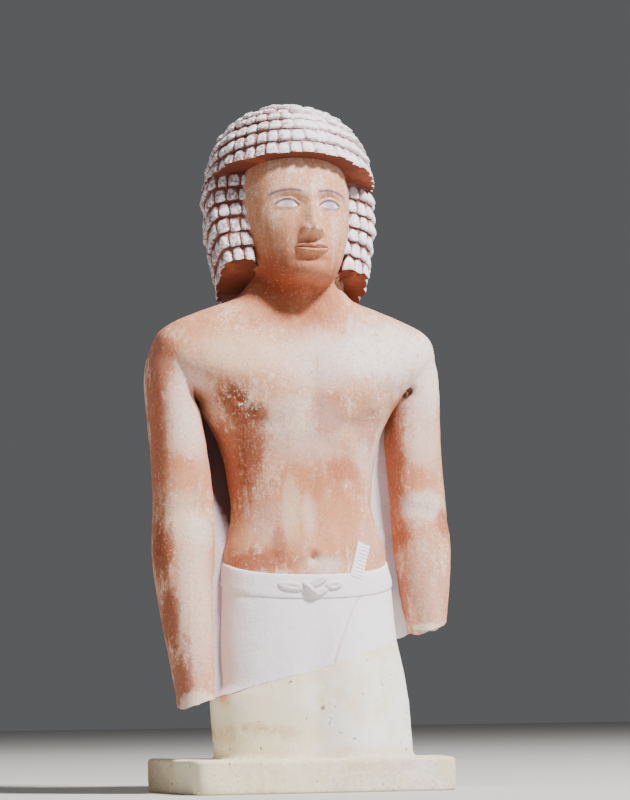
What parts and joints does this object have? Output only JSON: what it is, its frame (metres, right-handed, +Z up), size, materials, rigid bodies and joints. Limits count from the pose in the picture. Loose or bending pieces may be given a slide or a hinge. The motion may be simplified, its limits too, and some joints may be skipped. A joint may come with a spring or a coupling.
{
  "type": "sculpted torso",
  "caption": "Painted limestone upper part of a standing man in a curled wig and belted kilt, broken at forearms and kilt, on a plaster make-up with a low plinth.",
  "frame": {"origin": "middle of the plinth's flat underside", "axes": "+Z up, the figure faces -Y, its own left is +X"},
  "size_m": [0.1206, 0.0813, 0.2698],
  "materials": {
    "painted_limestone": "matt, worn red-brown and white paint over fine limestone",
    "cast_plaster": "matt, cream, slightly pitted"
  },
  "bodies": {
    "root": {"torso": "painted_limestone", "plaster_base": "cast_plaster"}
  },
  "joints": []
}
